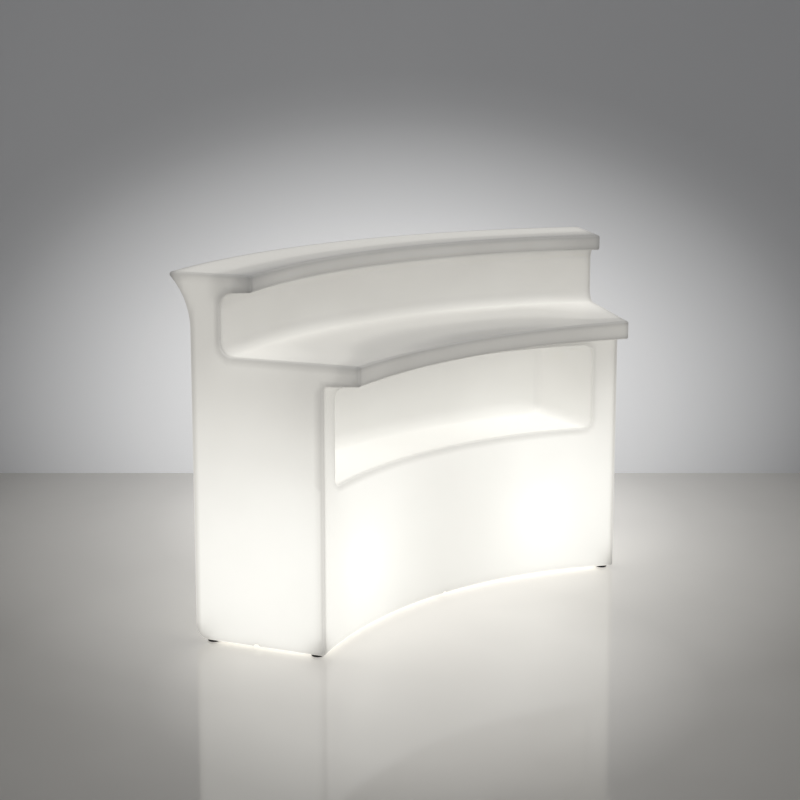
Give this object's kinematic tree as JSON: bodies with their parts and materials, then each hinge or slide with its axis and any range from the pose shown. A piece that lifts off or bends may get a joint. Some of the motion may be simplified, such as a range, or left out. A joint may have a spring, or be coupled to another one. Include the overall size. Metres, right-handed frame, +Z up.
{
  "type": "bar counter",
  "caption": "Curved illuminated bar counter: hollow moulded body with a flared guest ledge, a lower worktop, a niche under it and levelling feet.",
  "frame": {"origin": "on the floor, under the middle of the counter's box", "axes": "+Z up, +X to the right as the bartender sees it, -Y towards the bartender; the guest side bulges towards +Y"},
  "size_m": [1.6792, 0.7294, 1.1],
  "materials": {
    "shell_plastic": "satin translucent moulded polyethylene, lit from inside",
    "hatch_plastic": "satin",
    "seal_rubber": "matt",
    "zinc_steel": "zinc plated",
    "insert_brass": "turned",
    "holder_plastic": "moulded thermoset",
    "cap_metal": "bright",
    "lamp_opal": "opal",
    "box_plastic": "moulded",
    "terminal_plastic": "moulded",
    "gland_plastic": "moulded",
    "lead_sheath": "flexible sheath",
    "clip_plastic": "moulded",
    "foot_rubber": "moulded"
  },
  "bodies": {
    "counter": {"counter_shell": "shell_plastic", "lamp_hatch_left": "hatch_plastic", "lamp_hatch_right": "hatch_plastic", "supply_hatch": "hatch_plastic", "hatch_gasket_left": "seal_rubber", "hatch_gasket_right": "seal_rubber", "supply_gasket": "seal_rubber", "hatch_screws": "zinc_steel", "hatch_inserts": "insert_brass", "lamp_bracket_left": "zinc_steel", "lamp_bracket_right": "zinc_steel", "bracket_bolts": "zinc_steel", "bracket_nuts": "zinc_steel", "holder_nipples": "zinc_steel", "nipple_nuts": "zinc_steel", "lamp_holder_left": "holder_plastic", "lamp_holder_right": "holder_plastic", "lamp_cap_left": "cap_metal", "lamp_cap_right": "cap_metal", "lamp_globe_left": "lamp_opal", "lamp_globe_right": "lamp_opal", "junction_box": "box_plastic", "junction_lid": "box_plastic", "junction_screws": "zinc_steel", "terminal_block": "terminal_plastic", "supply_gland": "gland_plastic", "gland_locknut": "gland_plastic", "lead_grommets": "seal_rubber", "lead_left": "lead_sheath", "lead_right": "lead_sheath", "lead_clips": "clip_plastic", "vent_plug": "clip_plastic", "foot_inserts": "insert_brass"},
    "foot_inner_left": {"foot_stud_inner_left": "zinc_steel", "foot_pad_inner_left": "foot_rubber"},
    "foot_outer_left": {"foot_stud_outer_left": "zinc_steel", "foot_pad_outer_left": "foot_rubber"},
    "foot_inner_right": {"foot_stud_inner_right": "zinc_steel", "foot_pad_inner_right": "foot_rubber"},
    "foot_outer_right": {"foot_stud_outer_right": "zinc_steel", "foot_pad_outer_right": "foot_rubber"},
    "foot_outer_middle": {"foot_stud_outer_middle": "zinc_steel", "foot_pad_outer_middle": "foot_rubber"}
  },
  "joints": [
    {"name": "level_inner_left", "type": "slide", "parent": "counter", "child": "foot_inner_left", "axis": [0, 0, -1], "range_m": [-0.0015, 0.015]},
    {"name": "level_outer_left", "type": "slide", "parent": "counter", "child": "foot_outer_left", "axis": [0, 0, -1], "range_m": [-0.0015, 0.015]},
    {"name": "level_inner_right", "type": "slide", "parent": "counter", "child": "foot_inner_right", "axis": [0, 0, -1], "range_m": [-0.0015, 0.015]},
    {"name": "level_outer_right", "type": "slide", "parent": "counter", "child": "foot_outer_right", "axis": [0, 0, -1], "range_m": [-0.0015, 0.015]},
    {"name": "level_outer_middle", "type": "slide", "parent": "counter", "child": "foot_outer_middle", "axis": [0, 0, -1], "range_m": [-0.0015, 0.015]}
  ]
}
